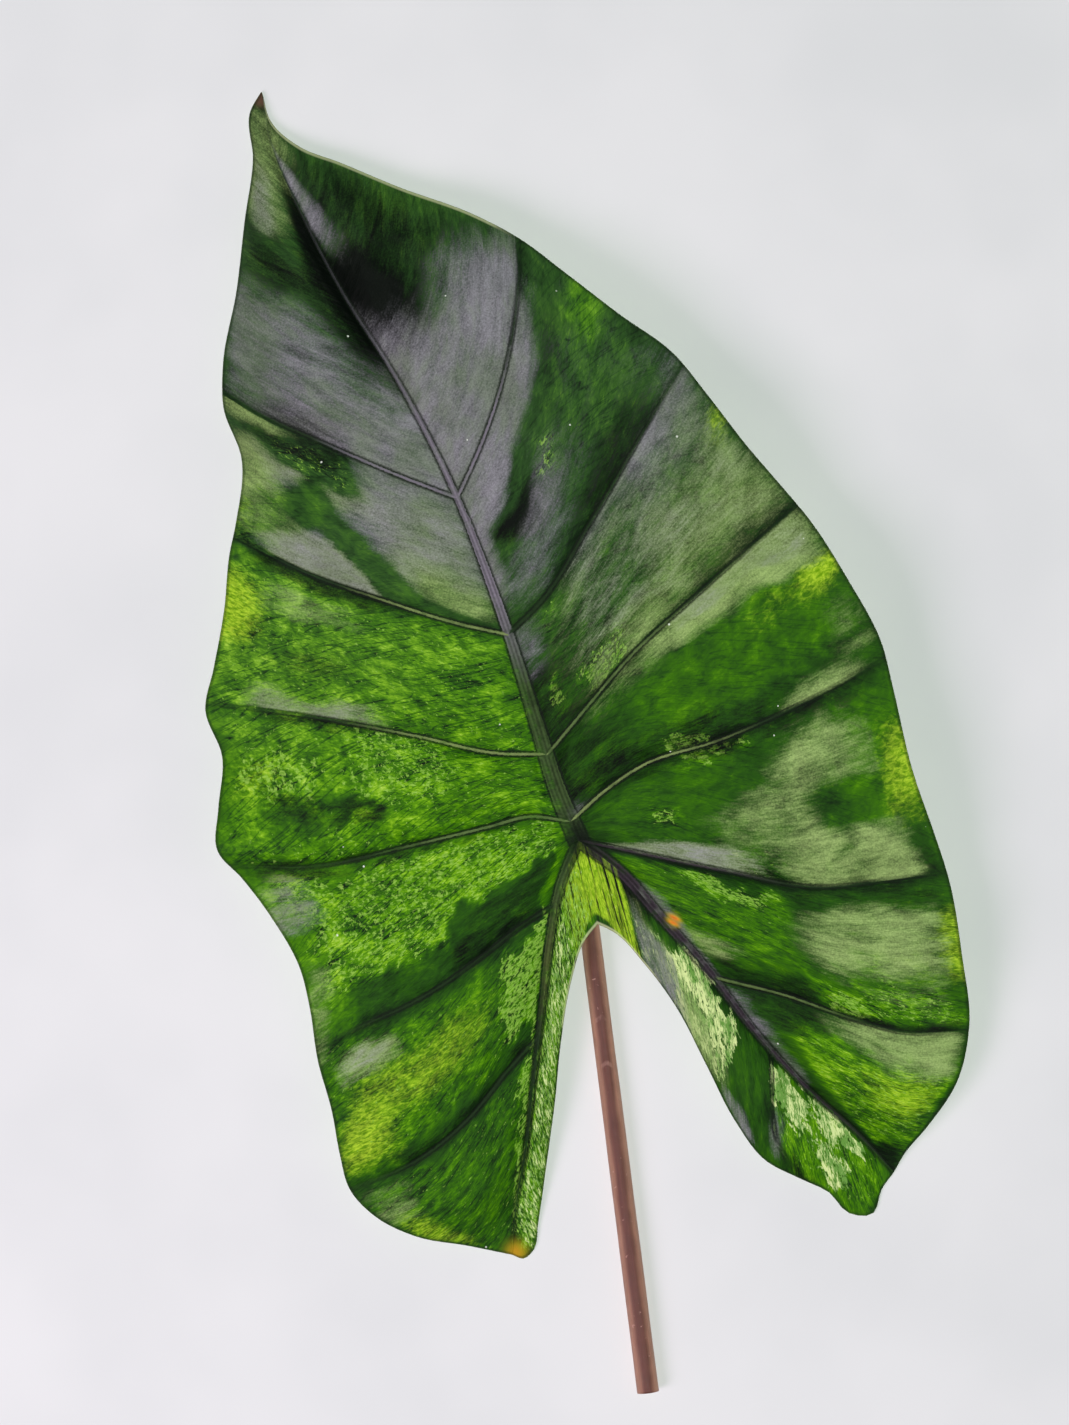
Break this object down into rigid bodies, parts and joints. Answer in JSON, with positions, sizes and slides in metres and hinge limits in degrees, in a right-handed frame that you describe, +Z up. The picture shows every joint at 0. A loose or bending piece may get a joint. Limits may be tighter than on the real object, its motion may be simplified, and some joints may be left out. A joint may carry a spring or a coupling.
{
  "type": "variegated giant taro leaf",
  "caption": "Arrowhead-shaped variegated foliage leaf with raised veins, waved edges, back lobes and a cut stalk, lying face up for display or arranging.",
  "frame": {"origin": "on the surface that the leaf lies on, under the middle of its outline box", "axes": "+Y from the stalk's hub towards the leaf's tip, +Z up out of the blade's upper side, +X towards the broader half"},
  "size_m": [0.2084, 0.4046, 0.0315],
  "materials": {
    "blade_green": "satin",
    "stalk_brown": "satin"
  },
  "bodies": {
    "root": {"leaf_blade": "blade_green", "leaf_stalk": "stalk_brown"}
  },
  "joints": []
}
